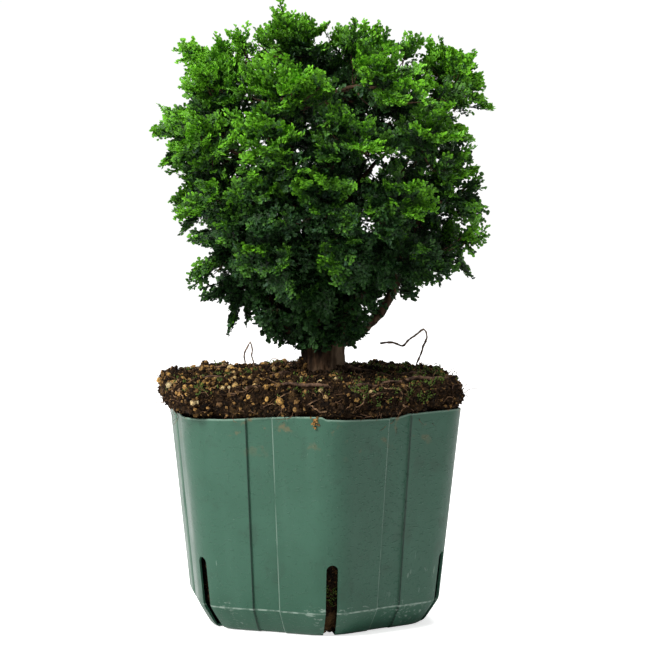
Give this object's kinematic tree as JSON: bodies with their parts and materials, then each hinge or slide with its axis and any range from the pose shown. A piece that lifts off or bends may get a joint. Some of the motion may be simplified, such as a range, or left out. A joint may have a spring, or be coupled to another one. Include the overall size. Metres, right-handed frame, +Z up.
{
  "type": "hinoki cypress bonsai in a nursery pot",
  "caption": "Young hinoki cypress bonsai with a dense rounded crown, standing in its root ball in a six-sided slotted plastic nursery pot.",
  "frame": {"origin": "middle of the pot's underside, on the surface it stands on", "axes": "+Z up along the trunk, the pictured front faces -Y"},
  "size_m": [0.1905, 0.1753, 0.336],
  "materials": {
    "pot_plastic": "thin moulded polypropylene, satin, scuffed",
    "earth": null,
    "bark": "thin fibrous reddish-brown bark",
    "foliage": null,
    "root_skin": "smooth reddish-brown root skin",
    "dry_stem": "dry, dull, greyish-brown"
  },
  "bodies": {
    "root": {"pot": "pot_plastic", "root_ball": "earth", "trunk_and_limbs": "bark", "root_front": "root_skin", "root_right": "root_skin", "root_left": "root_skin", "dead_stem_left": "dry_stem", "dead_stem_right": "dry_stem", "bough_01": "foliage", "bough_02": "foliage", "bough_03": "foliage", "bough_04": "foliage", "bough_05": "foliage", "bough_06": "foliage", "bough_07": "foliage", "bough_08": "foliage", "bough_09": "foliage", "bough_10": "foliage", "bough_11": "foliage", "bough_12": "foliage", "bough_13": "foliage", "bough_14": "foliage", "bough_15": "foliage", "bough_16": "foliage", "bough_17": "foliage", "bough_18": "foliage", "bough_19": "foliage", "bough_20": "foliage", "bough_21": "foliage", "bough_22": "foliage", "bough_23": "foliage", "bough_24": "foliage", "bough_25": "foliage", "bough_26": "foliage", "bough_27": "foliage", "bough_28": "foliage", "bough_29": "foliage", "bough_30": "foliage", "bough_31": "foliage", "bough_32": "foliage", "bough_33": "foliage", "bough_34": "foliage", "bough_35": "foliage", "bough_36": "foliage", "bough_37": "foliage", "bough_38": "foliage", "bough_39": "foliage", "bough_40": "foliage", "bough_41": "foliage", "bough_42": "foliage", "bough_43": "foliage", "bough_44": "foliage", "bough_45": "foliage", "bough_46": "foliage", "bough_47": "foliage", "bough_48": "foliage"}
  },
  "joints": []
}
